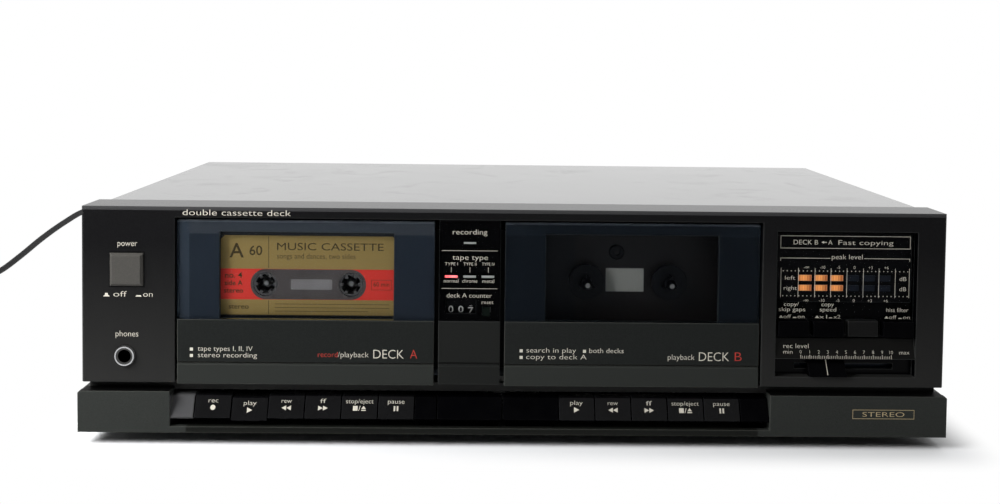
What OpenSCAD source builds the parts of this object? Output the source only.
// Double cassette deck: a low, wide cabinet with two front-loading tape decks,
// a row of piano keys along its lower edge and recording controls on the right.
// Frame: +X to the right as seen from the front, +Y to the rear, +Z up, in mm.
// The origin is on the table, under the middle of the case.
// A depth, called d below, is measured to the rear from the upper panel's face.

/* [Case] */
// Width of the lower panel, the widest piece
case_w = 430; // [424:1:480]
// Depth from the upper panel's face to the rear panel's outer face
case_d = 231; // [225:1:300]
// Height of the feet
foot_h = 6.5; // [4:0.5:16]
// Radius of a foot
foot_r = 11; // [8:0.5:16]
// Distance of the feet from the case's sides and ends
foot_inset = 34; // [26:1:60]
// Height of the lower panel, which frames the keys
lower_h = 20.5; // [19.5:0.5:30]
// Height of the shadow groove between the panels
groove_h = 4; // [3.5:0.5:8]
// Height of the upper panel
upper_h = 87; // [85:1:110]
// How far the lower panel stands in front of the upper one
lower_proud = 2; // [1.9:0.1:6]
// How far each side of the upper panel stands in from the lower one
upper_inset = 1.5; // [0:0.5:4]
// How far each side of the cover stands in from the lower panel
cover_inset = 5; // [4.5:0.5:8]
// How far the cover's top lies below the upper panel's top
cover_drop = 1; // [0.5:0.1:1.5]
// Depth of the upper panel's hood, from its face to the cover
hood_d = 25; // [25:0.5:36]
// Thickness of the two front panels
panel_t = 3.5; // [3.2:0.1:4.2]
// Thickness of the panels' side and top walls
wall_t = 3; // [2:0.25:3.25]
// Thickness of the sheet metal
sheet_t = 1.2; // [0.8:0.1:2]
// Chamfer along the panels' outer edges
edge = 0.9; // [0.3:0.1:2]

/* [Doors] */
// Middle of the column between the doors
column_x = -22.85; // [-25:0.05:-20]
// Width of the column between the doors
column_w = 30.5; // [29:0.1:33]
// Width of a door
door_w = 126.4; // [122:0.2:130]
// How far a door reaches below the upper panel
door_drop = 0.6; // [0:0.1:1]
// From the top of a door to the top of the upper panel
door_margin = 6.4; // [5:0.2:10]
// Gap round a door at its top and outer side
door_gap = 1.2; // [0.8:0.1:2]
// Gap between a door and the middle column
column_gap = 2.2; // [1:0.1:3]
// Height of a door's fascia below its window
fascia_h = 32; // [28:0.5:36]
// Thickness of a door's fascia
fascia_t = 3; // [2.6:0.1:3.4]
// Height of the groove line above the door's lower edge
line_rise = 10.3; // [9:0.1:14]
// Thickness of the windows
window_t = 2.2; // [1.6:0.1:2.6]
// How far the door windows lie behind the panel's face
window_set = 0.3; // [0:0.1:0.6]
// Thickness of the carrier plate behind a window
carrier_t = 2; // [1.5:0.1:2.2]
// Width of the carrier's opening, which shows the cassette
view_w = 86; // [80:0.5:90]
// Depth of the hinge axis behind the panel's face
hinge_d = 8.5; // [8.2:0.1:9]
// Height of the hinge axis above the door's lower edge
hinge_rise = 4.6; // [4.4:0.1:5.2]
// Radius of a hinge pin
pin_r = 2; // [1.5:0.1:2.4]
// Length of a hinge pin inside its ear
pin_grip = 3.5; // [2:0.5:3.6]

/* [Cassette] */
// Length of the cassette
cass_w = 100.4; // [98:0.2:102]
// Height of the cassette
cass_h = 63.8; // [62:0.2:65]
// Thickness of the cassette away from its tape edge
cass_t = 8.7; // [8.4:0.1:9]
// Extra thickness on each side along the tape edge
bulge_t = 1.65; // [1.4:0.05:1.7]
// Height of the thick strip
bulge_h = 17; // [14:0.5:18]
// Length of the thick strip at its foot
bulge_w = 66; // [64:0.5:70]
// Wall of the cassette shell
cass_wall = 1.3; // [1:0.1:1.5]
// Distance between the two hubs
hub_pitch = 42.5; // [41.5:0.1:43.5]
// Height of the hubs above the tape edge
hub_rise = 34.6; // [33.6:0.1:35.6]
// Outer radius of a hub's core
hub_r = 10.5; // [9.5:0.1:11]
// Radius of a hub's bore between its teeth
hub_bore_r = 4.9; // [4.8:0.05:5.1]
// Radius at the tips of a hub's teeth
tooth_r = 3.75; // [3.6:0.05:3.9]
// Radius of the tape pack on the supply hub
supply_pack_r = 23; // [12:0.5:24]
// Radius of the tape pack on the take-up hub
takeup_pack_r = 12.5; // [11.5:0.5:16]
// Depth of the cassette's middle plane
cass_d = 10.9; // [10.8:0.05:11]
// Height of the tape edge above the door's lower edge
cass_lift = 13.8; // [13.4:0.1:14.4]
// Play of the cassette in its pocket
pocket_gap = 0.4; // [0.3:0.05:0.6]
// Wall of the pocket
pocket_wall = 1.5; // [1.2:0.1:2]

/* [Transport] */
// Depth of the mechanism plate's face
plate_d = 24; // [23.5:0.1:25]
// Thickness of the mechanism plate
plate_t = 1.5; // [1:0.1:2]
// Radius of a spindle's body
spindle_r = 2.6; // [2.3:0.05:2.8]
// Radius at the tips of a spindle's fins
fin_r = 4.3; // [4.1:0.05:4.4]
// Radius of a reel table
table_r = 9; // [7:0.5:11]
// Radius of a spindle's shaft
shaft_r = 1.5; // [1.2:0.1:2]
// Sideways distance of the capstan from the deck's middle
capstan_x = 22; // [21:0.2:23]
// Height of the capstan above the tape edge
capstan_rise = 6.4; // [6.2:0.1:6.8]
// Radius of a capstan
capstan_r = 1; // [0.8:0.05:1.1]
// Radius of a flywheel
flywheel_r = 24; // [20:0.5:25]
// Thickness of a flywheel
flywheel_t = 10; // [10:0.5:12]
// Radius of the motor pulley
pulley_r = 5.5; // [4:0.25:8]
// Thickness of a drive belt
belt_t = 1.2; // [0.8:0.1:1.6]
// Width of a drive belt
belt_w = 2.2; // [1.5:0.1:2.6]
// Radius of the motor's can
motor_r = 15; // [12:0.5:17]
// Length of the motor's can
motor_l = 26; // [20:1:40]
// Lift of a head bridge over a full press of the play key
bridge_travel = 9.5; // [9.2:0.1:9.8]
// Radius of a pinch roller
roller_r = 4.2; // [3.6:0.1:4.4]
// Running clearance of shafts and pins, on the radius
run_gap = 0.05; // [0.02:0.01:0.1]

/* [Keys] */
// Spacing of the keys
key_pitch = 18.1; // [17:0.1:18.6]
// Gap between two keys
key_gap = 0.7; // [0.4:0.1:1.5]
// From the left edge of deck A's first key to the deck's middle
keys_a_in = 54.8; // [53:0.1:57]
// From the left edge of deck B's first key to the deck's middle
keys_b_in = 35.9; // [34:0.1:38]
// How far the key recess reaches past deck A's opening
recess_out_a = 2; // [1:0.1:6]
// How far the key recess reaches past deck B's opening
recess_out_b = 4.6; // [4:0.1:12]
// Height of the strip below the key recess
sill_h = 3.1; // [2:0.1:3.2]
// Height of the keys' lower edge above the case's underside
key_rise = 6.7; // [6.6:0.1:7.4]
// Height of a key's face
key_h = 10.8; // [9:0.1:11]
// How far the foot of a key's face stands in front of its top
key_slope = 5; // [3:0.1:5.6]
// Thickness of a key's arm
arm_t = 3; // [2:0.1:5]
// Depth of the keys' pivot
pivot_d = 48; // [47.8:0.2:52]
// Height of the keys' pivot above the case's underside
pivot_rise = 12.5; // [12:0.1:13]
// Radius of the keys' pivot shaft
pivot_r = 2; // [1.5:0.1:2.5]
// Angle of a full press
press_deg = 3.8; // [3.6:0.05:3.8]
// How far the play key of deck A stands below the row
play_low = 1.3; // [0:0.1:1.4]

/* [Controls] */
// Place of the power button across the panel's left field, from its middle
power_off = -0.6; // [-2:0.1:2]
// Middle of the power button, above the upper panel's lower edge
power_z = 56; // [52:0.5:60]
// Side of the square power button
power_w = 16.2; // [14:0.1:17]
// How far the power button stands out of the panel when pushed in
power_proud = 1.8; // [1:0.1:1.8]
// Place of the headphone jack across the panel's left field, from its middle
jack_off = -1.6; // [-3:0.1:2]
// Middle of the headphone jack, above the upper panel's lower edge
jack_z = 13.1; // [11:0.1:16]
// Bore of the headphone jack, as a radius
jack_r = 3.2; // [3.15:0.05:3.25]
// Radius of the headphone jack's rim
jack_rim_r = 5.2; // [5:0.1:6]
// From deck B's opening to the control recess
ctrl_gap = 7.2; // [7:0.1:9]
// From the control recess to the upper panel's right side
ctrl_side = 14.2; // [13.5:0.1:16]
// Depth of the control recess
ctrl_d = 4.4; // [4.3:0.1:5]
// Height of the level slot
slot_h = 9; // [8:0.1:9.5]
// Height of the sloping scale above the level slot
scale_h = 10; // [8:0.1:10.4]
// How far the top of the scale slopes back
scale_slope = 2.4; // [1:0.1:3]
// Width of the level knob
knob_w = 18.5; // [14:0.1:20]
// How far the level knob stands out of the panel
knob_proud = 1.8; // [0.5:0.1:1.8]
// From the control recess's left side to the scale's zero
scale_in0 = 12.8; // [12:0.1:15]
// From the scale's ten to the control recess's right side
scale_in1 = 11.8; // [11.4:0.1:13]
// Setting of the level knob on its scale
level = 2.9; // [0:0.1:10]
// Gap between two push buttons
button_gap = 2.5; // [2:0.1:5]
// Height of a push button
button_h = 7.6; // [6:0.1:8]
// Radius of a counter drum
drum_r = 6.8; // [6:0.1:7.2]
// Width of a counter drum
drum_w = 4.4; // [3.5:0.1:4.6]
// Spacing of the counter drums
drum_pitch = 4.95; // [4.9:0.05:5.2]
// Clearance round a button in its hole
slip = 0.25; // [0.2:0.01:0.3]

/* [Rear] */
// How far the line sockets stand out of the rear panel
socket_reach = 8; // [7:0.5:12]
// Outer radius of a line socket
socket_r = 4.15; // [4.1:0.05:4.2]
// Bore of a line socket's contact, as a radius
contact_r = 1.6; // [1.55:0.05:1.7]
// Spacing of the line sockets
socket_pitch = 15; // [13:0.5:20]
// Middle of the line sockets, across
socket_x = 130; // [100:1:160]
// Middle of the line sockets, above the case's underside
socket_rise = 40; // [30:1:60]

/* [Cord] */
// Diameter of the mains cord
cord_dia = 5; // [4.6:0.1:5.2]
// Length of the cord's strain relief behind the rear panel
relief_l = 26; // [26:1:26]
// Turns in each of the coil's two layers
coil_turns = 3; // [2:1:3]
// Radius of the coil's outer turn
coil_r = 37; // [37:1:37]
// Step between the coil's turns
coil_step = 6.4; // [6.3:0.1:6.6]
// Step between the coil's layers
coil_layer = 5.6; // [5.6:0.1:6]

/* [Hidden] */
$fn = 48;

// Main planes of the case
y_face = (lower_proud - case_d - socket_reach) / 2;
x_low = case_w / 2;
x_up = x_low - upper_inset;
x_cov = x_low - cover_inset;
x_in = x_cov - sheet_t;
z_low0 = foot_h;
z_low1 = z_low0 + lower_h;
z_up0 = z_low1 + groove_h;
z_up1 = z_up0 + upper_h;
z_cov = z_up1 - cover_drop;
z_floor = z_low0 + sheet_t;
d_rear = case_d - sheet_t;
d_base = 6;
flange_h = 12;
strut_w = 8;
post_r = 3.2;
post_x = x_in - strut_w / 2;
post_z = [z_up0 + 26, z_up0 + 74];
cut = 1;

// Rail at the back of the shadow groove
rail_d = 7;
rail_t = 3;
rail_z0 = z_low1 - 1.5;
rail_z1 = z_up0 - 1.2;

// Doors and the column between them
z_door0 = z_up0 - door_drop;
z_door1 = z_up1 - door_margin;
z_split = z_door0 + fascia_h;
z_line = z_door0 + line_rise;
z_view1 = z_door1 - 6;
z_hinge = z_door0 + hinge_rise;
d_glass = window_set + window_t;
d_carrier = d_glass + carrier_t;
col_x0 = column_x - column_w / 2;
col_x1 = column_x + column_w / 2;
deck_a_x = col_x0 - column_gap - door_w / 2;
deck_b_x = col_x1 + column_gap + door_w / 2;
door_a_x0 = deck_a_x - door_w / 2 - door_gap;
door_b_x1 = deck_b_x + door_w / 2 + door_gap;
ear_t = 4;
ear_r = pin_r + 2;
lug_w = 5;
lug_r = pin_r + 1.4;
glass_gap = 0.2;

// Cassette, its pocket and what reaches into it
z_tape = z_door0 + cass_lift;
z_hub = z_tape + hub_rise;
z_capstan = z_tape + capstan_rise;
cass_d0 = cass_d - cass_t / 2;
cass_d1 = cass_d + cass_t / 2;
bulge_d0 = cass_d0 - bulge_t;
bulge_d1 = cass_d1 + bulge_t;
hub_hole_r = hub_bore_r + 1.1;
hub_neck_r = hub_hole_r - 0.3;
hub_teeth = 6;
capstan_hole_r = capstan_r + 2.6;
head_slot_w = 18;
roller_slot_w = 15;
slot_rise = capstan_rise + 1;
spindle_tip_d = cass_d - 1.7;
fin_d = cass_d + 1.3;
table_d = bulge_d1 + 1.3;
table_t = 2;
capstan_tip_d = cass_d - 2.4;
ledge_w = 13;
ledge_t = 1.9;

// Flywheels, motor and belts
fly_d = plate_d + plate_t + 4.5;
motor_d = fly_d + flywheel_t + 4;
motor_x = (deck_a_x + deck_b_x) / 2 + capstan_x;
fly_span = (deck_b_x - deck_a_x) / 2;
belt_a_d = fly_d + 2;
belt_b_d = fly_d + flywheel_t - 2 - belt_w;
belt_gap = 0.3;
belt_graze = 0.02;
belt_sink = belt_t + belt_gap;
bearing_r = 3;
bearing_l = 4;

// Head bridges
bridge_w = 60;
bridge_t = 1.5;
bridge_d = plate_d - bridge_t - 0.3;
bridge_z0 = z_tape - 17.5;
bridge_z1 = z_tape - 8;
shelf_z = z_tape - 13.2;
head_d0 = cass_d - 2.5;
head_d1 = cass_d + 2.5;
head_tip = z_tape + 3 - bridge_travel;
roller_z = z_capstan - capstan_r - 0.3 - roller_r - bridge_travel;

// Keys
key_names_a = 6;
key_names_b = 5;
keys_a_x = deck_a_x - keys_a_in;
keys_b_x = deck_b_x - keys_b_in;
recess_x0 = door_a_x0 - recess_out_a;
recess_x1 = door_b_x1 + recess_out_b;
keys_a_end = keys_a_x + key_names_a * key_pitch;
keys_b_end = keys_b_x + key_names_b * key_pitch;
z_pivot = z_low0 + pivot_rise;
z_key0 = z_low0 + key_rise;
z_key1 = z_key0 + key_h;
key_d0 = -lower_proud + 0.4;
key_d1 = 9;
key_lip = 0.8;
arm_h = 7;
boss_r = pivot_r + 2.4;
play_deg = asin(play_low / (pivot_d - key_d0));
bridge_lift_a = bridge_travel * play_deg / press_deg;
bracket_t = 2;
window_z = z_low1 + 1.5;

// Controls
left_x = (door_a_x0 - x_up) / 2;
power_x = left_x + power_off;
jack_x = left_x + jack_off;
front_room = hood_d - sheet_t - 0.5;
ctrl_x0 = door_b_x1 + ctrl_gap;
ctrl_x1 = x_up - ctrl_side;
ctrl_w = ctrl_x1 - ctrl_x0;
scale_x0 = ctrl_x0 + scale_in0;
scale_x1 = ctrl_x1 - scale_in1;
button_pitch = ctrl_w / 4;
button_w = button_pitch - button_gap;
z_slot0 = z_up0 + 5;
z_slot1 = z_slot0 + slot_h;
z_scale1 = z_slot1 + scale_h;
z_button = z_scale1 + 1.3 + button_h / 2;
z_meter0 = z_button + button_h / 2 + 1;
z_meter1 = z_up0 + 77.6;
ctrl_t = 2;
ctrl_rim = 3;
board_d = 14;
board_t = 1.6;
button_x = [for (i = [0:3]) (ctrl_x0 + ctrl_x1) / 2 + (i - 1.5) * button_pitch];
dummy_at = 2;
button_proud = 0.5;
switch_d = 9;
knob_x = scale_x0 + (scale_x1 - scale_x0) * level / 10;
knob_gap = 0.5;
stem_w = 3;
stem_h = 2;
led_count = 6;
led_in0 = 11.2;
led_in1 = 11;
led_gap = 1.25;
led_x0 = ctrl_x0 + led_in0;
led_pitch = (ctrl_w - led_in0 - led_in1) / led_count;
led_w = led_pitch - led_gap;
led_h = 3.5;
led_z = [z_up0 + 47, z_up0 + 52];
drum_x = column_x - 4.35;
drum_d = panel_t + 0.4 + drum_r;
drum_z = z_split + 7.1;
axle_r = 1.2;
frame_t = 1;
frame_d1 = drum_d + drum_r + 1.5;
frame_h = 11;
drums = 3;
frame_x0 = drum_x - drum_pitch * drums / 2 - frame_t;
frame_x1 = drum_x + drum_pitch * drums / 2;
reset_x = column_x + 8.3;
reset_z = z_split + 5;
reset_w = 3.8;
reset_h = 4.2;

// Inner units
pcb_z = z_floor + 6;
pcb_t = 1.6;
core_x = -x_in + 43.8;
core_d = 165;
pcb_box = [core_x + 65, 80, x_in - 33.8, 205];
sock_t = 10;
socket_neck_r = socket_r - 0.55;
z_sock = z_low0 + socket_rise;
screw_r = 1.4;
screw_head_r = 3;
screw_head_h = 1.6;
side_screw_d = [70, 200];
rear_screw_x = x_in - 58.8;

// Mains cord: exit, route along the table and coil
cord_r = cord_dia / 2;
cord_x = -175;
cord_z = 78;
y_relief = y_face + case_d + relief_l;
route = [
    [cord_x, y_relief, cord_z], [-175, 160, 78], [-178, 182, 78], [-192, 204, 78],
    [-216, 220, 77], [-246, 229, 76], [-280, 234, 74], [-312, 236, 70],
    [-341, 236, 64], [-359, 236, 54], [-377, 236, 41], [-395, 236, 26],
    [-411, 236, 14], [-428, 235, 6], [-445, 235, 3], [-460, 235, 2.5]];
route_steps = 3;
coil_c = [-470, 235 - coil_r, 2.5];
coil_rings = 24;
coil_sides = 6;
tube_sides = 8;

// Block between two corners, each given by x, depth and z
module slab(x0, x1, d0, d1, z0, z1) {
    translate([x0, y_face + d0, z0])
        cube([x1 - x0, d1 - d0, z1 - z0]);
}

// Round bars along each axis
module rod_x(x0, x1, d, z, r) {
    translate([x0, y_face + d, z])
        rotate([0, 90, 0])
            cylinder(h = x1 - x0, r = r);
}

module rod_y(x, d0, d1, z, r) {
    translate([x, y_face + d0, z])
        rotate([-90, 0, 0])
            cylinder(h = d1 - d0, r = r);
}

module rod_z(x, d, z0, z1, r) {
    translate([x, y_face + d, z0])
        cylinder(h = z1 - z0, r = r);
}

// Outline of depth and z points, drawn out along X
module profile_x(x0, x1, points) {
    translate([x0, y_face, 0])
        rotate([90, 0, 90])
            linear_extrude(x1 - x0)
                polygon(points);
}

// Outline of x and z points, drawn out from depth d0 to d1
module profile_y(d0, d1) {
    translate([0, y_face + d1, 0])
        rotate([90, 0, 0])
            linear_extrude(d1 - d0)
                children();
}

// Solid of revolution about a line along Y through x and z, from radius and depth points
module turned_y(x, z, points) {
    translate([x, y_face, z])
        rotate([-90, 0, 0])
            rotate_extrude()
                polygon(points);
}

module mirror_x() {
    children();
    mirror([1, 0, 0])
        children();
}

module groove_line(x0, x1) {
    profile_x(x0, x1, [[-cut, z_line - 0.7], [0, z_line - 0.7], [0.7, z_line], [0, z_line + 0.7],
        [-cut, z_line + 0.7]]);
}

// Base sheet with folded flanges and two struts that carry the front panel
module bottom_chassis() {
    color([0.62, 0.63, 0.62])
        difference() {
            union() {
                slab(-x_in, x_in, d_base, d_rear, z_low0, z_floor);
                mirror_x() {
                    slab(x_in - sheet_t, x_in, hood_d + 2, d_rear, z_low0, z_floor + flange_h);
                    slab(x_in - strut_w, x_in, hood_d - sheet_t, hood_d, z_low0, post_z[1] + 6);
                }
                slab(-x_in, x_in, d_rear - sheet_t, d_rear, z_low0, z_floor + flange_h);
            }
            screw_places(screw_r + 0.1);
        }
}

// Feet stand at four corners
module at_feet() {
    for (x = [-x_in + foot_inset, x_in - foot_inset])
        for (d = [foot_inset, case_d - foot_inset])
            translate([x, y_face + d, 0])
                children();
}

module feet() {
    color([0.06, 0.06, 0.06])
        at_feet()
            rotate_extrude()
                polygon([[screw_r + 0.3, 3], [screw_head_r + 0.8, 3], [screw_head_r + 0.8, 0],
                    [foot_r - 1.5, 0], [foot_r, 1.5], [foot_r, foot_h], [screw_r + 0.3, foot_h]]);
}

// One screw along +Z, its head below the plane z = 0
module screw(length) {
    rotate_extrude()
        polygon([[0, -screw_head_h], [screw_head_r - 0.6, -screw_head_h], [screw_head_r, -0.7],
            [screw_head_r, 0], [screw_r, 0], [screw_r, length], [0, length]]);
}

module screws() {
    color([0.2, 0.2, 0.21]) {
        at_feet()
            translate([0, 0, 3])
                screw(foot_h + sheet_t - 1);
        mirror_x()
            for (d = side_screw_d)
                translate([x_cov, y_face + d, z_floor + flange_h / 2])
                    rotate([0, -90, 0])
                        screw(6);
        mirror_x()
            translate([rear_screw_x, y_face + case_d, z_floor + flange_h / 2])
                rotate([90, 0, 0])
                    screw(6);
    }
}

// Holes for the screws in the sheet metal
module screw_places(r) {
    at_feet()
        translate([0, 0, z_low0 - cut])
            cylinder(h = sheet_t + 2 * cut, r = r);
    for (d = side_screw_d) {
        rod_x(-x_cov - cut, -x_in + 2 * sheet_t, d, z_floor + flange_h / 2, r);
        rod_x(x_in - 2 * sheet_t, x_cov + cut, d, z_floor + flange_h / 2, r);
    }
    for (x = [-rear_screw_x, rear_screw_x])
        rod_y(x, d_rear - 2 * sheet_t, case_d + cut, z_floor + flange_h / 2, r);
}

// Folded cover: top and both sides in one sheet
module top_cover() {
    color([0.13, 0.13, 0.14])
        difference() {
            slab(-x_cov, x_cov, hood_d, case_d, z_low0, z_cov);
            slab(-x_in, x_in, hood_d - cut, case_d + cut, z_low0 - cut, z_cov - sheet_t);
            screw_places(screw_r + 0.1);
        }
}

module at_sockets() {
    for (x = [-0.5, 0.5])
        for (z = [-0.5, 0.5])
            translate([x * socket_pitch, 0, z * socket_pitch])
                children();
}

module rear_panel() {
    color([0.12, 0.12, 0.13])
        difference() {
            slab(-x_in, x_in, d_rear, case_d, z_low0, z_cov - sheet_t);
            at_sockets()
                rod_y(socket_x, d_rear - cut, case_d + cut, z_sock, socket_r + 0.2);
            rod_y(cord_x, d_rear - cut, case_d + cut, cord_z, cord_r + 2.7);
            screw_places(screw_r + 0.1);
        }
}

// Phono sockets: four barrels that stand on one block behind the rear panel
module line_sockets() {
    color([0.75, 0.74, 0.7]) {
        slab(socket_x - socket_pitch / 2 - 7, socket_x + socket_pitch / 2 + 7, d_rear - sock_t, d_rear,
            z_sock - socket_pitch / 2 - 7, z_sock + socket_pitch / 2 + 7);
        at_sockets()
            socket_barrel();
    }
}

module socket_barrel() {
    difference() {
        union() {
            rod_y(socket_x, d_rear + run_gap, case_d + 0.5, z_sock, socket_neck_r);
            rod_y(socket_x, case_d + 0.5, case_d + socket_reach, z_sock, socket_r);
        }
        rod_y(socket_x, d_rear - cut, case_d + socket_reach + cut, z_sock, contact_r);
    }
}

// Upper front panel: a hood with the door openings, the middle column and the control recess
module hood_block() {
    intersection() {
        translate([0, y_face, z_up0])
            linear_extrude(upper_h)
                polygon([[-x_up, edge], [-x_up + edge, 0], [x_up - edge, 0], [x_up, edge],
                    [x_up, hood_d], [-x_up, hood_d]]);
        profile_x(-x_up, x_up, [[0, z_up0], [0, z_up1 - edge], [edge, z_up1], [hood_d, z_up1],
            [hood_d, z_up0]]);
    }
}

// Ear that takes a door's hinge pin, from x towards the side given by way
module hinge_ear(x, way) {
    x0 = way > 0 ? x : x - ear_t;
    difference() {
        union() {
            slab(x0, x0 + ear_t, panel_t - 0.5, hinge_d, z_hinge - ear_r, z_hinge + ear_r);
            rod_x(x0, x0 + ear_t, hinge_d, z_hinge, ear_r);
        }
        rod_x(x0 - cut, x0 + ear_t + cut, hinge_d, z_hinge, pin_r + run_gap);
    }
}

module panel_openings() {
    slab(door_a_x0, col_x0, -cut, panel_t + cut, z_up0 - cut, z_door1 + door_gap);
    slab(col_x1, door_b_x1, -cut, panel_t + cut, z_up0 - cut, z_door1 + door_gap);
    slab(col_x0 - cut, col_x1 + cut, -cut, d_glass, z_split, z_door1 + door_gap);
    groove_line(col_x0 - cut, col_x1 + cut);
    slab(frame_x0 + frame_t, frame_x1, 0, panel_t + cut, drum_z - 3.6, drum_z + 3.6);
    slab(reset_x - reset_w / 2 - slip, reset_x + reset_w / 2 + slip, 0, panel_t + cut,
        reset_z - reset_h / 2 - slip, reset_z + reset_h / 2 + slip);
    slab(ctrl_x0, ctrl_x1, -cut, ctrl_d, z_slot0, z_meter1);
    slab(ctrl_x0 + 1.5, ctrl_x1 - 1.5, 0, ctrl_d + ctrl_t + cut, z_meter0 + 8, z_meter1 - 1.5);
    for (i = [0:3])
        if (i != dummy_at)
            slab(button_x[i] - button_w / 2 - slip, button_x[i] + button_w / 2 + slip,
                0, ctrl_d + ctrl_t + cut,
                z_button - button_h / 2 - slip, z_button + button_h / 2 + slip);
    slab(scale_x0 - stem_w / 2 - 0.6, scale_x1 + stem_w / 2 + 0.6, 0, ctrl_d + ctrl_t + cut,
        z_slot0 + slot_h / 2 - stem_h / 2 - 0.4, z_slot0 + slot_h / 2 + stem_h / 2 + 0.4);
    slab(power_x - power_w / 2 - slip, power_x + power_w / 2 + slip, -cut, panel_t + cut,
        z_up0 + power_z - power_w / 2 - slip, z_up0 + power_z + power_w / 2 + slip);
    rod_y(jack_x, -cut, panel_t + cut, z_up0 + jack_z, jack_r + 1.2 + run_gap);
}

module front_panel() {
    color([0.2, 0.2, 0.21]) {
        difference() {
            union() {
                difference() {
                    hood_block();
                    slab(-x_up + wall_t, x_up - wall_t, panel_t, hood_d + cut,
                        z_up0 - cut, z_up1 - wall_t);
                }
                slab(ctrl_x0 - ctrl_rim, ctrl_x1 + ctrl_rim, panel_t - 0.5, ctrl_d + ctrl_t,
                    z_slot0 - ctrl_rim, z_meter1 + ctrl_rim);
                for (x = [-post_x, post_x])
                    for (z = post_z)
                        rod_y(x, panel_t - 0.5, hood_d - sheet_t, z, post_r);
                for (x = [ctrl_x0 + 1, ctrl_x1 - 1])
                    for (z = [z_slot0, z_meter1 - 1])
                        rod_y(x, ctrl_d, board_d, z, 2);
            }
            panel_openings();
        }
        profile_x(ctrl_x0 - 0.5, ctrl_x1 + 0.5, [[0, z_slot1], [scale_slope, z_scale1],
            [ctrl_d + 0.5, z_scale1], [ctrl_d + 0.5, z_slot1]]);
        slab(button_x[dummy_at] - button_w / 2, button_x[dummy_at] + button_w / 2,
            0.8, ctrl_d + 0.5, z_button - button_h / 2, z_button + button_h / 2);
        hinge_ear(door_a_x0, -1);
        hinge_ear(col_x0, 1);
        hinge_ear(col_x1, -1);
        hinge_ear(door_b_x1, 1);
        slab(-x_up + wall_t / 2, x_up - wall_t / 2, rail_d, rail_d + rail_t, rail_z0, rail_z1);
        rail_tie(-x_up + wall_t / 2, door_a_x0 - ear_t - 1);
        rail_tie(col_x0 + ear_t + 1, col_x1 - ear_t - 1);
        rail_tie(door_b_x1 + ear_t + 1, x_up - wall_t / 2);
    }
}

// Rib that joins the groove's rail to the panel
module rail_tie(x0, x1) {
    slab(x0, x1, panel_t - 0.5, rail_d + rail_t, z_up0, z_up0 + 2);
    slab(x0, x1, rail_d, rail_d + rail_t, rail_z1 - 0.5, z_up0 + 2);
}

// Lower panel: sill and cheeks round the key recess, with a grey filler beside the first key
module lower_panel() {
    d0 = -lower_proud;
    d1 = d0 + panel_t;
    color([0.3, 0.3, 0.29]) {
        difference() {
            profile_y(d0, d1)
                polygon([[-x_low, z_low0], [x_low, z_low0], [x_low, z_low1 - edge],
                    [x_low - edge, z_low1], [-x_low + edge, z_low1], [-x_low, z_low1 - edge]]);
            slab(recess_x0, recess_x1, d0 - cut, d1 + cut, z_low0 + sill_h, z_low1 + cut);
        }
        mirror_x()
            slab(x_low - wall_t, x_low, d1 - 0.5, hood_d, z_low0, z_low1 - edge);
        slab(-x_low + wall_t / 2, x_low - wall_t / 2, d1 - 0.5, d_base, z_low0, z_floor);
        for (x = [[-x_low + wall_t / 2, recess_x0], [recess_x1, x_low - wall_t / 2]])
            slab(x[0], x[1], d1 - 0.5, rail_d - 0.5, z_low1 - 2, z_low1);
        slab(recess_x0 - 2, recess_x0, d1 - 0.5, key_d1 + 3, z_floor, z_low1 - 2);
        slab(recess_x1, recess_x1 + 2, d1 - 0.5, key_d1 + 3, z_floor, z_low1 - 2);
        key_cap(recess_x0 - 0.5, keys_a_x - key_gap / 2);
    }
}

// Sloping face shared by the keys and the fillers between them
module key_cap(x0, x1) {
    profile_x(x0, x1, [[key_d0 + key_lip, z_key0], [key_d0, z_key0 + key_lip],
        [key_d0 + key_slope - 0.4, z_key1 - key_lip / 2], [key_d0 + key_slope + 0.4, z_key1],
        [key_d1, z_key1], [key_d1, z_key0]]);
}

// Fixed fillers between and beside the two rows of keys
module key_blanks() {
    joints = [keys_a_end, col_x0 - 0.5, col_x1 + 1.5, keys_b_x];
    color([0.06, 0.06, 0.07]) {
        for (i = [0:2])
            key_blank(joints[i], joints[i + 1]);
        key_blank(keys_b_end, recess_x1);
    }
}

module key_blank(x0, x1) {
    key_cap(x0 + key_gap / 2, x1 - key_gap / 2);
    slab(x0 + 2, x1 - 2, key_d1 - 2, key_d1, z_floor, z_key0 + 1);
}

// A key: sloping cap, arm and pivot boss
module key_body(x0) {
    xm = x0 + key_pitch / 2;
    difference() {
        union() {
            key_cap(x0 + key_gap / 2, x0 + key_pitch - key_gap / 2);
            slab(xm - arm_t / 2, xm + arm_t / 2, key_d1 - 0.5, pivot_d,
                z_pivot - arm_h / 2, z_pivot + arm_h / 2);
            rod_x(xm - arm_t, xm + arm_t, pivot_d, z_pivot, boss_r);
        }
        rod_x(xm - arm_t - cut, xm + arm_t + cut, pivot_d, z_pivot, pivot_r + run_gap);
    }
}

// Key number n of a row, turned about the pivot by angle
module key(row_x, n, angle) {
    color([0.05, 0.05, 0.06])
        translate([0, y_face + pivot_d, z_pivot])
            rotate([angle, 0, 0])
                translate([0, -y_face - pivot_d, -z_pivot])
                    key_body(row_x + n * key_pitch);
}

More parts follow.
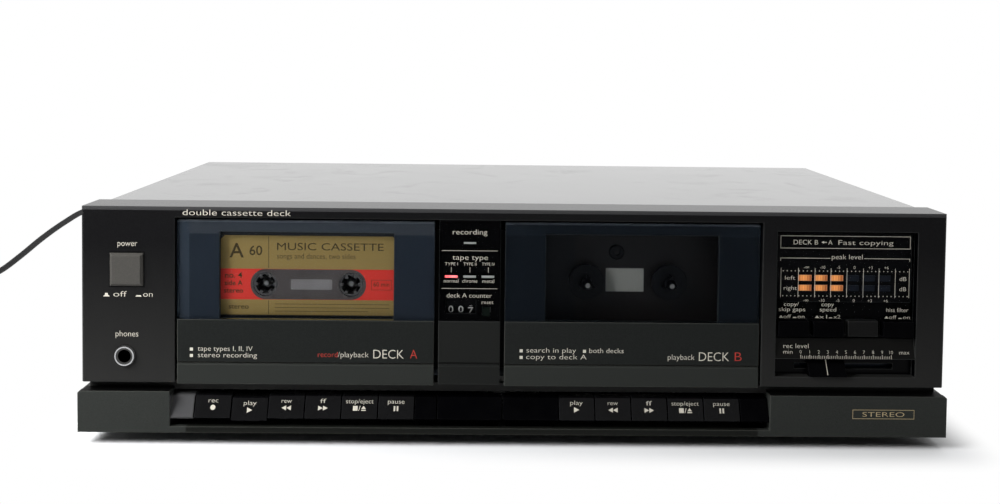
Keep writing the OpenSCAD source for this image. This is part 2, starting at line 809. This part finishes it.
// Smoked windows that are fixed in the panel: the counter's and the meter's
module display_windows() {
    color([0.1, 0.11, 0.13, 0.6]) {
        difference() {
            slab(col_x0 + glass_gap, col_x1 - glass_gap, window_set, d_glass,
                z_split + glass_gap, z_door1);
            slab(reset_x - reset_w / 2 - slip, reset_x + reset_w / 2 + slip, 0, d_glass + cut,
                reset_z - reset_h / 2 - slip, reset_z + reset_h / 2 + slip);
        }
        slab(ctrl_x0 + glass_gap, ctrl_x1 - glass_gap, ctrl_d - window_t, ctrl_d,
            z_meter0, z_meter1 - glass_gap);
    }
}

// Headphone jack: rim, barrel through the panel and body behind it
module headphone_jack() {
    z = z_up0 + jack_z;
    color([0.72, 0.72, 0.72])
        difference() {
            union() {
                turned_y(jack_x, z, [[0, -1], [jack_rim_r - 0.6, -1], [jack_rim_r, -0.4],
                    [jack_rim_r, 0], [0, 0]]);
                rod_y(jack_x, -0.5, panel_t + 0.5, z, jack_r + 1.2);
                slab(jack_x - 6, jack_x + 6, panel_t, front_room, z - 6.5, z + 6.5);
            }
            rod_y(jack_x, -2, 22, z, jack_r);
        }
}

// Power switch: body on a frame that stands off the panel's back
module power_switch() {
    z = z_up0 + power_z;
    reach = power_w / 2 + 1;
    color([0.15, 0.15, 0.16])
        difference() {
            union() {
                for (s = [z - reach - 2, z + reach])
                    slab(power_x - 4, power_x + 4, panel_t, 14, s, s + 2);
                slab(power_x - 6, power_x + 6, 13, 15, z - reach - 2, z + reach + 2);
                slab(power_x - 7, power_x + 7, 14.5, front_room, z - 7, z + 7);
            }
            slab(power_x - 2.8, power_x + 2.8, 12, 21, z - 2.8, z + 2.8);
        }
}

module power_button() {
    z = z_up0 + power_z;
    h = power_w / 2;
    color([0.62, 0.6, 0.55]) {
        intersection() {
            profile_x(power_x - h, power_x + h, [[-power_proud + 1.2, z - h], [-power_proud, z - h + 1.2],
                [-power_proud, z + h - 1.2], [-power_proud + 1.2, z + h], [8, z + h], [8, z - h]]);
            translate([power_x, y_face, z - h - cut])
                linear_extrude(2 * h + 2 * cut)
                    polygon([[-h, 1.2 - power_proud], [1.2 - h, -power_proud], [h - 1.2, -power_proud],
                        [h, 1.2 - power_proud], [h, 8], [-h, 8]]);
        }
        slab(power_x - 2.5, power_x + 2.5, 7.5, 20, z - 2.5, z + 2.5);
    }
}

// Level knob with a sloping face and a stem into its slide control
module level_knob() {
    z0 = z_slot0 + knob_gap;
    z1 = z_slot1 - knob_gap;
    zs = z_slot0 + slot_h / 2;
    color([0.05, 0.05, 0.06]) {
        profile_x(knob_x - knob_w / 2, knob_x + knob_w / 2, [[-knob_proud, z0],
            [-knob_proud, z0 + 0.7], [ctrl_d - 1.2, z1], [ctrl_d - 0.3, z1], [ctrl_d - 0.3, z0]]);
        slab(knob_x - stem_w / 2, knob_x + stem_w / 2, ctrl_d - 0.8, switch_d,
            zs - stem_h / 2, zs + stem_h / 2);
    }
}

module push_button(i) {
    x = button_x[i];
    color([0.06, 0.06, 0.07]) {
        slab(x - button_w / 2, x + button_w / 2, -button_proud, 5.5,
            z_button - button_h / 2, z_button + button_h / 2);
        slab(x - 2.5, x + 2.5, 5, switch_d + 1, z_button - 2, z_button + 2);
    }
}

module reset_button() {
    color([0.06, 0.06, 0.07]) {
        slab(reset_x - reset_w / 2, reset_x + reset_w / 2, -0.4, panel_t + 2.5,
            reset_z - reset_h / 2, reset_z + reset_h / 2);
        slab(reset_x - 1, reset_x + 1, panel_t + 2, drum_d, reset_z - 1, reset_z + 1);
    }
}

// Control board: lamps of the level meter, slide control and switches of the push buttons
module control_board() {
    zs = z_slot0 + slot_h / 2;
    color([0.12, 0.3, 0.16])
        difference() {
            union() {
                slab(ctrl_x0 - 1, ctrl_x1 + 1, board_d, board_d + board_t, z_slot0 - 2, z_meter1 + 1);
                slab(led_x0 - 1, led_x0 + led_count * led_pitch, 8, board_d + 0.5,
                    led_z[0] - 1, led_z[1] + led_h + 1);
                for (z = led_z)
                    for (i = [0:led_count - 1])
                        slab(led_x0 + i * led_pitch, led_x0 + i * led_pitch + led_w,
                            ctrl_d + 0.4, 8.5, z, z + led_h);
                for (i = [0:3])
                    if (i != dummy_at)
                        slab(button_x[i] - 5, button_x[i] + 5, switch_d, board_d + 0.5,
                            z_button - 4, z_button + 4);
                slab(scale_x0 - 6, scale_x1 + 6, switch_d + 0.3, board_d + 0.5, zs - 3, zs + 3);
            }
            for (i = [0:3])
                slab(button_x[i] - 2.8, button_x[i] + 2.8, switch_d - cut, board_d - 0.5,
                    z_button - 2.3, z_button + 2.3);
        }
}

// Counter: frame with its axle, and three drums
module counter_frame() {
    color([0.3, 0.3, 0.3]) {
        for (x = [frame_x0, frame_x1])
            slab(x, x + frame_t, panel_t, frame_d1, drum_z - frame_h / 2, drum_z + frame_h / 2);
        slab(frame_x0, frame_x1 + frame_t, frame_d1 - 1, frame_d1, drum_z - frame_h / 2,
            drum_z + frame_h / 2);
        rod_x(frame_x0, frame_x1 + frame_t, drum_d, drum_z, axle_r);
    }
}

module drum(place) {
    xm = drum_x + (place - 1) * drum_pitch;
    color([0.1, 0.1, 0.1])
        difference() {
            rod_x(xm - drum_w / 2, xm + drum_w / 2, drum_d, drum_z, drum_r);
            rod_x(xm - drum_w, xm + drum_w, drum_d, drum_z, axle_r + run_gap);
        }
}

// Door: fascia, carrier plate, hinge lugs with pins and the pocket for a cassette
module door(x) {
    w = door_w / 2;
    pocket = cass_w / 2 + pocket_gap;
    lip_d = cass_d1 + pocket_gap;
    color([0.24, 0.24, 0.24]) {
        difference() {
            slab(x - w, x + w, 0, fascia_t, z_door0, z_split);
            groove_line(x - w - cut, x + w + cut);
        }
        difference() {
            slab(x - w, x + w, d_glass, d_carrier, z_door0 + 2, z_door1);
            slab(x - view_w / 2, x + view_w / 2, d_glass - cut, d_carrier + cut, z_split, z_view1);
        }
        for (s = [-1, 1])
            translate([x, 0, 0])
                mirror([s > 0 ? 0 : 1, 0, 0]) {
                    slab(pocket, pocket + pocket_wall, d_carrier - 0.5, lip_d + pocket_wall,
                        z_tape - 2.2, z_view1);
                    slab(pocket - 4, pocket + 0.5, lip_d, lip_d + pocket_wall, z_tape - 2.2, z_view1);
                    slab(pocket - ledge_w, pocket + 0.5, d_carrier - 0.5, lip_d + pocket_wall,
                        z_tape - 0.3 - ledge_t, z_tape - 0.3);
                    slab(w - lug_w, w, d_carrier - 0.5, hinge_d, z_hinge - lug_r + 1, z_hinge + lug_r);
                    rod_x(w - lug_w, w, hinge_d, z_hinge, lug_r);
                }
        rod_x(x - w - pin_out(x, -1), x - w + cut, hinge_d, z_hinge, pin_r);
        rod_x(x + w - cut, x + w + pin_out(x, 1), hinge_d, z_hinge, pin_r);
    }
}

// Length of a hinge pin outside the door: the gap on that side and the grip in the ear
function pin_out(x, way) = pin_grip + (x * way < 0 ? column_gap : door_gap);

module door_window(x) {
    w = door_w / 2;
    color([0.1, 0.11, 0.13, 0.6])
        profile_x(x - w, x + w, [[window_set, z_split + glass_gap], [window_set, z_door1 - 1.2],
            [window_set + 1, z_door1], [d_glass, z_door1], [d_glass, z_split + glass_gap]]);
}

// Cassette: shell with hub holes, capstan holes and openings along the tape edge
module cassette_shell() {
    h = hub_pitch / 2;
    color([0.22, 0.22, 0.22])
        translate([deck_a_x, 0, 0])
            difference() {
                union() {
                    profile_y(cass_d0, cass_d1)
                        polygon([[-cass_w / 2, z_tape], [cass_w / 2, z_tape],
                            [cass_w / 2, z_tape + cass_h - 2], [cass_w / 2 - 2, z_tape + cass_h],
                            [2 - cass_w / 2, z_tape + cass_h], [-cass_w / 2, z_tape + cass_h - 2]]);
                    profile_y(bulge_d0, bulge_d1)
                        polygon([[-bulge_w / 2, z_tape], [bulge_w / 2, z_tape],
                            [bulge_w / 2 - 2.5, z_tape + bulge_h], [2.5 - bulge_w / 2, z_tape + bulge_h]]);
                }
                slab(-cass_w / 2 + cass_wall, cass_w / 2 - cass_wall, cass_d0 + cass_wall,
                    cass_d1 - cass_wall, z_tape + 8.5, z_tape + cass_h - cass_wall);
                for (x = [-h, h])
                    rod_y(x, 0, 2 * cass_d, z_hub, hub_hole_r);
                for (x = [-capstan_x, capstan_x]) {
                    rod_y(x, 0, 2 * cass_d, z_capstan, capstan_hole_r);
                    slab(x - roller_slot_w / 2, x + roller_slot_w / 2, bulge_d0 + cass_wall,
                        bulge_d1 - cass_wall, z_tape - cut, z_tape + slot_rise);
                }
                slab(-head_slot_w / 2, head_slot_w / 2, bulge_d0 + cass_wall, bulge_d1 - cass_wall,
                    z_tape - cut, z_tape + slot_rise);
            }
}

// Hub with six teeth in its bore and the tape wound on it
module cassette_hub(side, pack_r) {
    x = deck_a_x + side * hub_pitch / 2;
    inner0 = cass_d0 + cass_wall + 0.35;
    inner1 = cass_d1 - cass_wall - 0.35;
    color([0.85, 0.84, 0.8]) {
        difference() {
            union() {
                rod_y(x, inner0, inner1, z_hub, hub_r);
                rod_y(x, cass_d0 + 0.4, cass_d1 - 0.4, z_hub, hub_neck_r);
                rod_y(x, inner0 + 0.8, inner1 - 0.8, z_hub, pack_r);
            }
            rod_y(x, 0, 2 * cass_d, z_hub, hub_bore_r);
        }
        for (i = [0:hub_teeth - 1])
            translate([x, y_face + cass_d0 + 0.4, z_hub])
                rotate([0, i * 360 / hub_teeth, 0])
                    translate([tooth_r, 0, -0.7])
                        cube([hub_bore_r - tooth_r + 0.4, cass_t - 0.8, 1.4]);
    }
}

// Spindle: shaft in the plate, reel table, fins that drive a hub and a tapered nose
module spindle(deck_x, side) {
    x = deck_x + side * hub_pitch / 2;
    color([0.8, 0.8, 0.78]) {
        turned_y(x, z_hub, [[0, spindle_tip_d], [spindle_r - 1.4, spindle_tip_d],
            [spindle_r, spindle_tip_d + 3], [spindle_r, table_d], [table_r, table_d],
            [table_r, table_d + table_t], [shaft_r, table_d + table_t],
            [shaft_r, plate_d + plate_t + 2.5], [0, plate_d + plate_t + 2.5]]);
        for (i = [0:2])
            translate([x, y_face + fin_d, z_hub])
                rotate([0, 30 + i * 120, 0])
                    translate([spindle_r - 0.5, 0, -0.45])
                        cube([fin_r - spindle_r + 0.5, table_d - fin_d + 0.5, 0.9]);
    }
}

// Steel plate of a transport: bearings, bridge guides, the keys' shaft, and wings behind the door's gaps
module mech_plate(deck_x, row_x0, row_x1) {
    h = hub_pitch / 2;
    wing = door_w / 2 + column_gap + 1.5;
    x0 = row_x0 - bracket_t - 1.5;
    x1 = row_x1 + bracket_t + 1.5;
    shelf_d1 = pivot_d + boss_r + 4;
    z_top = z_tape + cass_h - 4;
    color([0.55, 0.56, 0.56])
        difference() {
            union() {
                slab(x0, x1, plate_d, plate_d + plate_t, z_floor, z_top);
                slab(deck_x - wing, deck_x + wing, plate_d, plate_d + plate_t, window_z, z_top);
                slab(x0, x1, plate_d, shelf_d1, z_floor, z_floor + 1.5);
                for (x = [x0, x1 - bracket_t])
                    slab(x, x + bracket_t, plate_d, shelf_d1, z_floor, z_pivot + boss_r);
                rod_x(x0, x1, pivot_d, z_pivot, pivot_r);
                rod_y(deck_x + capstan_x, plate_d, plate_d + plate_t + bearing_l, z_capstan, bearing_r);
                for (s = [-1, 1])
                    bridge_guide(deck_x, s);
            }
            slab(x0 + bracket_t, x1 - bracket_t, plate_d - cut, plate_d + plate_t + cut,
                z_floor + 1.5, window_z);
            rod_y(deck_x + capstan_x, plate_d - cut, plate_d + 10, z_capstan, capstan_r + run_gap);
            for (x = [-h, h])
                rod_y(deck_x + x, plate_d - cut, plate_d + plate_t + cut, z_hub, shaft_r + run_gap);
        }
}

// Side guide of a head bridge, with a lip in front of it
module bridge_guide(deck_x, way) {
    w = bridge_w / 2;
    translate([deck_x, 0, 0])
        mirror([way > 0 ? 0 : 1, 0, 0]) {
            slab(w + 0.1, w + 3, bridge_d - 1.6, plate_d + 0.5, window_z, z_tape + 3);
            slab(w - 2, w + 3, bridge_d - 1.6, bridge_d - 0.1, window_z, z_tape + 3);
        }
}

// Head bridge: sliding plate, shelf, play head, erase head and pinch roller
module head_bridge(deck_x, lift) {
    color([0.7, 0.7, 0.7])
        translate([deck_x, 0, lift]) {
            slab(-bridge_w / 2, bridge_w / 2, bridge_d, bridge_d + bridge_t, bridge_z0, bridge_z1);
            slab(-26, 16, head_d0, bridge_d + 0.5, shelf_z, shelf_z + 1.5);
            slab(16, 26, head_d1 + 0.6, bridge_d + 0.5, shelf_z, shelf_z + 1.5);
            slab(-6, 6, head_d0, head_d1, shelf_z + 1, head_tip - 4);
            intersection() {
                rod_y(0, head_d0, head_d1, head_tip - 6, 6);
                slab(-6, 6, head_d0, head_d1, head_tip - 4.5, head_tip);
            }
            slab(-capstan_x - 4, -capstan_x + 4, head_d0, head_d1, shelf_z + 1, head_tip);
            slab(capstan_x - 2.5, capstan_x + 2.5, head_d1 + 0.6, head_d1 + 2, shelf_z, roller_z + 2);
            rod_y(capstan_x, head_d0 - 0.6, head_d1 + 1, roller_z, 1.2);
            difference() {
                rod_y(capstan_x, head_d0, head_d1, roller_z, roller_r);
                rod_y(capstan_x, head_d0 - cut, head_d1 + cut, roller_z, 1.2 + run_gap);
            }
        }
}

// Flywheel on its capstan, with a groove for the belt at depth belt_d
module flywheel(deck_x, belt_d) {
    groove_r = flywheel_r - belt_sink;
    color([0.66, 0.6, 0.42])
        turned_y(deck_x + capstan_x, z_capstan, [[0, capstan_tip_d], [capstan_r, capstan_tip_d],
            [capstan_r, fly_d], [flywheel_r, fly_d], [flywheel_r, belt_d - 0.3],
            [groove_r, belt_d - 0.3], [groove_r, belt_d + belt_w + 0.3],
            [flywheel_r, belt_d + belt_w + 0.3], [flywheel_r, fly_d + flywheel_t],
            [0, fly_d + flywheel_t]]);
}

// Motor on an angle bracket that stands on the base sheet
module motor() {
    color([0.7, 0.7, 0.7])
        difference() {
            union() {
                rod_y(motor_x, motor_d, motor_d + motor_l, z_capstan, motor_r);
                slab(motor_x - motor_r, motor_x + motor_r, motor_d - 1.5, motor_d + 0.5,
                    z_floor, z_capstan + motor_r);
                slab(motor_x - motor_r, motor_x + motor_r, motor_d - 1.5, motor_d + 18,
                    z_floor, z_floor + 1.5);
            }
            rod_y(motor_x, motor_d - 3, motor_d + 12, z_capstan, capstan_r + run_gap);
        }
}

module motor_pulley() {
    groove_r = pulley_r - belt_sink;
    d0 = fly_d + 0.5;
    d1 = fly_d + flywheel_t - 0.5;
    color([0.75, 0.62, 0.3])
        turned_y(motor_x, z_capstan, [[0, d0], [pulley_r, d0], [pulley_r, belt_a_d - 0.3],
            [groove_r, belt_a_d - 0.3], [groove_r, belt_a_d + belt_w + 0.3],
            [pulley_r, belt_a_d + belt_w + 0.3], [pulley_r, belt_b_d - 0.3],
            [groove_r, belt_b_d - 0.3], [groove_r, belt_b_d + belt_w + 0.3],
            [pulley_r, belt_b_d + belt_w + 0.3], [pulley_r, d1], [capstan_r, d1],
            [capstan_r, motor_d + 10], [0, motor_d + 10]]);
}

// Area inside a belt round circles of radius r0 at the origin and r1 at x = fly_span;
// the straight runs start belt_graze inside the circles, so that their outlines cross
module belt_area(r0, r1) {
    tilt = asin((r0 - r1) / fly_span);
    run0 = r0 - belt_graze;
    run1 = r1 - belt_graze;
    circle(r0);
    translate([fly_span, 0])
        circle(r1);
    polygon([[run0 * sin(tilt), run0 * cos(tilt)],
        [fly_span + run1 * sin(tilt), run1 * cos(tilt)],
        [fly_span + run1 * sin(tilt), -run1 * cos(tilt)],
        [run0 * sin(tilt), -run0 * cos(tilt)]]);
}

module drive_belt(deck_x, belt_d, way) {
    wheel = flywheel_r - belt_t;
    small = pulley_r - belt_t;
    translate([deck_x + capstan_x, y_face + belt_d + belt_w, z_capstan])
        mirror([way > 0 ? 0 : 1, 0, 0])
            rotate([90, 0, 0])
                linear_extrude(belt_w)
                    difference() {
                        belt_area(wheel + belt_t, small + belt_t);
                        belt_area(wheel, small);
                    }
}

module drive_belts() {
    color([0.05, 0.05, 0.05]) {
        drive_belt(deck_a_x, belt_a_d, 1);
        drive_belt(deck_b_x, belt_b_d, -1);
    }
}

// Mains transformer: laminated core, bobbin and mounting feet
module transformer() {
    x = core_x;
    d = core_d;
    color([0.4, 0.38, 0.35]) {
        slab(x - 35, x + 35, d - 11, d + 11, z_floor, z_floor + 1.5);
        slab(x - 27, x + 27, d - 11, d + 11, z_floor + 1, z_floor + 46);
        slab(x - 18, x + 18, d - 20, d + 20, z_floor + 8, z_floor + 38);
    }
}

// Main circuit board on standoffs, with its larger components
module main_board() {
    b = pcb_box;
    top = pcb_z + pcb_t - 0.2;
    color([0.55, 0.42, 0.22]) {
        slab(b[0], b[2], b[1], b[3], pcb_z, pcb_z + pcb_t);
        for (x = [b[0] + 6, b[2] - 6])
            for (d = [b[1] + 6, b[3] - 6])
                rod_z(x, d, z_floor, pcb_z + 0.5, 3);
        for (i = [0:3])
            rod_z(b[0] + 20 + i * 22, b[3] - 18, top, top + 26, 8);
        for (i = [0:8])
            rod_z(b[0] + 120 + (i % 3) * 24, b[1] + 30 + floor(i / 3) * 26, top, top + 13, 4);
        for (i = [0:5])
            slab(b[0] + 20 + i * 14, b[0] + 22 + i * 14, b[1] + 45, b[1] + 70, top, top + 30);
        slab(b[0] + 20, b[0] + 92, b[1] + 56, b[1] + 58, top, top + 30);
        for (i = [0:2])
            slab(b[0] + 110 + i * 40, b[0] + 128 + i * 40, b[1] + 8, b[1] + 16, top, top + 4);
    }
}

// Points along the cord
function unit(v) = v / norm(v);
function blend(a, b, c, e, t) = (2 * b + (c - a) * t + (2 * a - 5 * b + 4 * c - e) * t * t
    + (3 * b - a - 3 * c + e) * t * t * t) / 2;
function smoothed(p, n) = [for (i = [0:len(p) - 2]) for (k = [0:n - 1])
    blend(p[max(i - 1, 0)], p[i], p[i + 1], p[min(i + 2, len(p) - 1)], k / n)];
route_path = concat(smoothed(route, route_steps), [route[len(route) - 1]]);

// Coil: in along the table layer, up half a turn, and out along the upper layer
coil_half = 360 * coil_turns;
coil_end = 2 * coil_half + 180;
function coil_radius(a) = a < coil_half ? coil_r - coil_step * a / 360
    : a < coil_half + 180 ? coil_r - coil_step * coil_turns
    : coil_r - coil_step * (coil_end - a) / 360;
function coil_height(a) = a < coil_half ? 0 : a < coil_half + 180
    ? coil_layer * (1 - cos(a - coil_half)) / 2 : coil_layer;
function coil_point(a) = coil_c + [-coil_radius(a) * sin(a), coil_radius(a) * cos(a), coil_height(a)];
coil_way_out = unit(coil_point(coil_end) - coil_point(coil_end - 1));
coil_turning = [for (a = [0:360 / coil_rings:coil_end]) coil_point(a)];
coil_last = coil_turning[len(coil_turning) - 1];
coil_way = [coil_way_out[0], coil_way_out[1], 0];
coil_path = concat([[route[len(route) - 1][0], coil_c[1] + coil_r, coil_c[2]]], coil_turning,
    [coil_last + coil_way * cord_dia, coil_last + coil_way * 2 * cord_dia]);
coil_gap = min([for (i = [0:len(coil_turning) - 1]) for (j = [i + coil_rings / 2:len(coil_turning) - 1])
    norm(coil_turning[i] - coil_turning[j])]) - cord_dia;
echo(coil_gap_to_itself = coil_gap);

// Tube swept along a path, from rings of triangles
module tube(path, r, sides) {
    n = len(path);
    rings = [for (i = [0:n - 1])
        let (t = unit(path[min(i + 1, n - 1)] - path[max(i - 1, 0)]),
            s = unit(cross(t, [0, 0, 1])),
            u = cross(s, t))
        for (k = [0:sides - 1])
            path[i] + r * (cos(360 * k / sides) * s + sin(360 * k / sides) * u)];
    walls = [for (i = [0:n - 2]) for (k = [0:sides - 1])
        let (a = i * sides + k, b = i * sides + (k + 1) % sides)
        each [[a, b, b + sides], [a, b + sides, a + sides]]];
    ends = [for (k = [1:sides - 2])
        each [[0, k + 1, k], [(n - 1) * sides, (n - 1) * sides + k, (n - 1) * sides + k + 1]]];
    polyhedron(rings, concat(walls, ends));
}

module mains_cord() {
    color([0.05, 0.05, 0.05])
        tube(route_path, cord_r, tube_sides);
}

module cord_coil() {
    color([0.05, 0.05, 0.05])
        tube(coil_path, cord_r, coil_sides);
}

// Bushing in the rear panel, with a tapered strain relief
module cord_bushing() {
    color([0.06, 0.06, 0.06])
        turned_y(cord_x, cord_z, [[0, d_rear - 4], [cord_r + 4, d_rear - 4], [cord_r + 4, d_rear],
            [cord_r + 2.6, d_rear], [cord_r + 2.6, case_d], [cord_r + 4.5, case_d],
            [cord_r + 4.5, case_d + 3], [cord_r + 3, case_d + 3], [cord_r + 1, case_d + relief_l],
            [0, case_d + relief_l]]);
}

// Flat two-pin mains plug at the end of the coil
module mains_plug() {
    pin_pitch = 18.6;
    color([0.05, 0.05, 0.05])
        translate(coil_last + coil_way * 2 * cord_dia)
            rotate([0, 0, atan2(coil_way[1], coil_way[0])]) {
                rotate([0, 90, 0])
                    cylinder(h = 22, r1 = cord_r + 0.6, r2 = cord_r + 3.4);
                translate([21, 0, -7])
                    linear_extrude(14)
                        polygon([[0, -6], [6, -10], [17, -17.5], [20, -17.5], [20, 17.5], [17, 17.5],
                            [6, 10], [0, 6]]);
                for (s = [-0.5, 0.5])
                    translate([40, s * pin_pitch, 0])
                        rotate([0, 90, 0])
                            cylinder(h = 20, r = 2);
            }
}

bottom_chassis();
rear_panel();
top_cover();
front_panel();
lower_panel();
key_blanks();
display_windows();
feet();
screws();
headphone_jack();
power_switch();
transformer();
main_board();
line_sockets();
cord_bushing();
mains_cord();
cord_coil();
mains_plug();
motor();
drive_belts();
mech_plate(deck_a_x, keys_a_x, keys_a_end);  // mech_plate_a
mech_plate(deck_b_x, keys_b_x, keys_b_end);  // mech_plate_b
control_board();
counter_frame();
door(deck_a_x);  // door_a
door(deck_b_x);  // door_b
door_window(deck_a_x);  // window_a
door_window(deck_b_x);  // window_b
cassette_shell();
cassette_hub(-1, supply_pack_r);  // cassette_hub_supply
cassette_hub(1, takeup_pack_r);  // cassette_hub_takeup
spindle(deck_a_x, -1);  // supply_spindle_a
spindle(deck_a_x, 1);  // takeup_spindle_a
spindle(deck_b_x, -1);  // supply_spindle_b
spindle(deck_b_x, 1);  // takeup_spindle_b
flywheel(deck_a_x, belt_a_d);  // flywheel_a
flywheel(deck_b_x, belt_b_d);  // flywheel_b
motor_pulley();
head_bridge(deck_a_x, bridge_lift_a);  // head_bridge_a
head_bridge(deck_b_x, 0);  // head_bridge_b
key(keys_a_x, 0, 0);  // key_a_record
key(keys_a_x, 1, play_deg);  // key_a_play
key(keys_a_x, 2, 0);  // key_a_rewind
key(keys_a_x, 3, 0);  // key_a_forward
key(keys_a_x, 4, 0);  // key_a_stop
key(keys_a_x, 5, 0);  // key_a_pause
key(keys_b_x, 0, 0);  // key_b_play
key(keys_b_x, 1, 0);  // key_b_rewind
key(keys_b_x, 2, 0);  // key_b_forward
key(keys_b_x, 3, 0);  // key_b_stop
key(keys_b_x, 4, 0);  // key_b_pause
power_button();
level_knob();
push_button(0);  // edit_button
push_button(1);  // speed_button
push_button(3);  // noise_button
reset_button();
drum(2);  // drum_units
drum(1);  // drum_tens
drum(0);  // drum_hundreds
